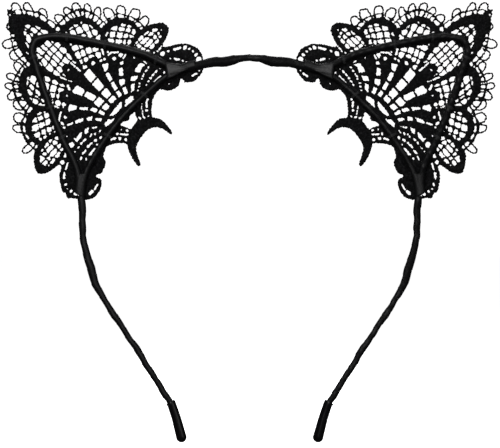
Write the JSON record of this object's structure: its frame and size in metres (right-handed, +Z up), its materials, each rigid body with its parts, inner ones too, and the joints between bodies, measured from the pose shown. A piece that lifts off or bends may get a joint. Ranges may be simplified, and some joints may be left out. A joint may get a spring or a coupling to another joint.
{
  "type": "animal ears headband",
  "caption": "Ribbon-wrapped spring wire headband with two wire-framed lace cat ears and vinyl tip caps; the legs flex apart to grip a head.",
  "frame": {"origin": "middle of the crown's underside, where the band rests on the head", "axes": "+Z up as worn, +X towards the wearer's left ear's side (the viewer's right), +Y from the ribbon face to the lace's back, away from the viewer"},
  "size_m": [0.1966, 0.0053, 0.1748],
  "materials": {
    "satin_ribbon": "black satin ribbon with a soft sheen",
    "lace_thread": "matt black embroidered lace thread",
    "sewing_thread": "black polyester sewing thread",
    "spring_wire": "drawn spring steel",
    "vinyl_cap": "glossy black dipped vinyl"
  },
  "bodies": {
    "headband": {"crown_wire": "spring_wire", "crown_ribbon": "satin_ribbon", "ear_wire_left": "spring_wire", "ear_ribbon_left": "satin_ribbon", "base_ribbon_left": "satin_ribbon", "fold_inner_left": "satin_ribbon", "fold_outer_left": "satin_ribbon", "lashing_inner_left": "sewing_thread", "lashing_outer_left": "sewing_thread", "lace_left": "lace_thread", "tack_left_1": "sewing_thread", "tack_left_2": "sewing_thread", "tack_left_3": "sewing_thread", "tack_left_4": "sewing_thread", "tack_left_5": "sewing_thread", "tack_left_6": "sewing_thread", "tack_left_7": "sewing_thread", "tack_left_8": "sewing_thread", "ear_wire_right": "spring_wire", "ear_ribbon_right": "satin_ribbon", "base_ribbon_right": "satin_ribbon", "fold_inner_right": "satin_ribbon", "fold_outer_right": "satin_ribbon", "lashing_inner_right": "sewing_thread", "lashing_outer_right": "sewing_thread", "lace_right": "lace_thread", "tack_right_1": "sewing_thread", "tack_right_2": "sewing_thread", "tack_right_3": "sewing_thread", "tack_right_4": "sewing_thread", "tack_right_5": "sewing_thread", "tack_right_6": "sewing_thread", "tack_right_7": "sewing_thread", "tack_right_8": "sewing_thread"},
    "leg_left": {"leg_wire_left": "spring_wire", "leg_ribbon_left": "satin_ribbon", "tip_cap_left": "vinyl_cap"},
    "leg_right": {"leg_wire_right": "spring_wire", "leg_ribbon_right": "satin_ribbon", "tip_cap_right": "vinyl_cap"}
  },
  "joints": [
    {"name": "leg_flex_left", "type": "hinge", "parent": "headband", "child": "leg_left", "pos_m": [-0.06743, 0, -0.05485], "axis": [0, 1, 0], "range_deg": [-6, 22], "stiffness_Nm_per_rad": 0.2},
    {"name": "leg_flex_right", "type": "hinge", "parent": "headband", "child": "leg_right", "pos_m": [0.06743, 0, -0.05485], "axis": [0, -1, 0], "range_deg": [-6, 22], "stiffness_Nm_per_rad": 0.2}
  ]
}
